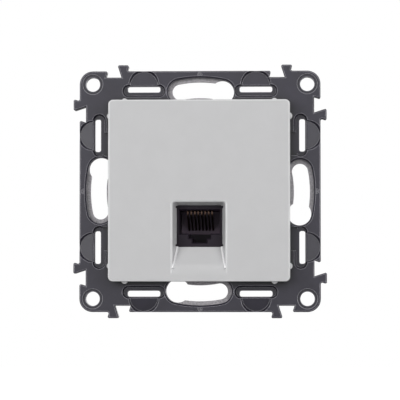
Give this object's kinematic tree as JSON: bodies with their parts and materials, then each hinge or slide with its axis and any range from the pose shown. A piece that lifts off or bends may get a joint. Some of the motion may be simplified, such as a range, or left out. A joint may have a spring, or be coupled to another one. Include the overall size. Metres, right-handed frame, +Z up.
{
  "type": "ethernet wall socket",
  "caption": "Flush-mounted RJ45 wall outlet: square cover with a port window on a plastic and steel support frame, with a lever-operated wiring cap behind",
  "frame": {"origin": "middle of the support frame on the wall plane, at the back of the steel plate", "axes": "+X to the right as seen from the front, +Y into the wall, +Z up; the cover faces -Y"},
  "size_m": [0.0746, 0.034, 0.0746],
  "materials": {
    "frame_plastic": "matt moulded anthracite",
    "zinc_steel": "zinc plated sheet",
    "cover_plastic": "satin light grey",
    "holder_plastic": "matt black",
    "jack_plastic": "satin black",
    "contact_gold": "gold flash",
    "board_green": "solder resist",
    "terminal_plastic": "matt dark grey",
    "blade_tin": "tin plated bronze",
    "cap_plastic": "satin pale grey",
    "lever_plastic": "satin mid grey"
  },
  "bodies": {
    "socket": {"frame_moulding": "frame_plastic", "steel_plate": "zinc_steel", "cover": "cover_plastic", "jack_holder": "holder_plastic", "jack_housing": "jack_plastic", "contact_sled": "jack_plastic", "circuit_board": "board_green", "terminal_block": "terminal_plastic", "contact_1": "contact_gold", "contact_2": "contact_gold", "contact_3": "contact_gold", "contact_4": "contact_gold", "contact_5": "contact_gold", "contact_6": "contact_gold", "contact_7": "contact_gold", "contact_8": "contact_gold", "idc_blade_1": "blade_tin", "idc_blade_2": "blade_tin", "idc_blade_3": "blade_tin", "idc_blade_4": "blade_tin", "idc_blade_5": "blade_tin", "idc_blade_6": "blade_tin", "idc_blade_7": "blade_tin", "idc_blade_8": "blade_tin"},
    "cap": {"wiring_cap": "cap_plastic"},
    "lever": {"cap_lever": "lever_plastic"}
  },
  "joints": [
    {"name": "lever_hinge", "type": "hinge", "parent": "socket", "child": "lever", "pos_m": [0, 0.0209, -0.02035], "axis": [-1, 0, 0], "range_deg": [0, 90]},
    {"name": "cap_slide", "type": "slide", "parent": "socket", "child": "cap", "axis": [0, 1, 0], "range_m": [0, 0.003]}
  ],
  "couplings": [
    {"joint": "lever_hinge", "follows": "cap_slide", "rad_per_m": 523.59}
  ]
}
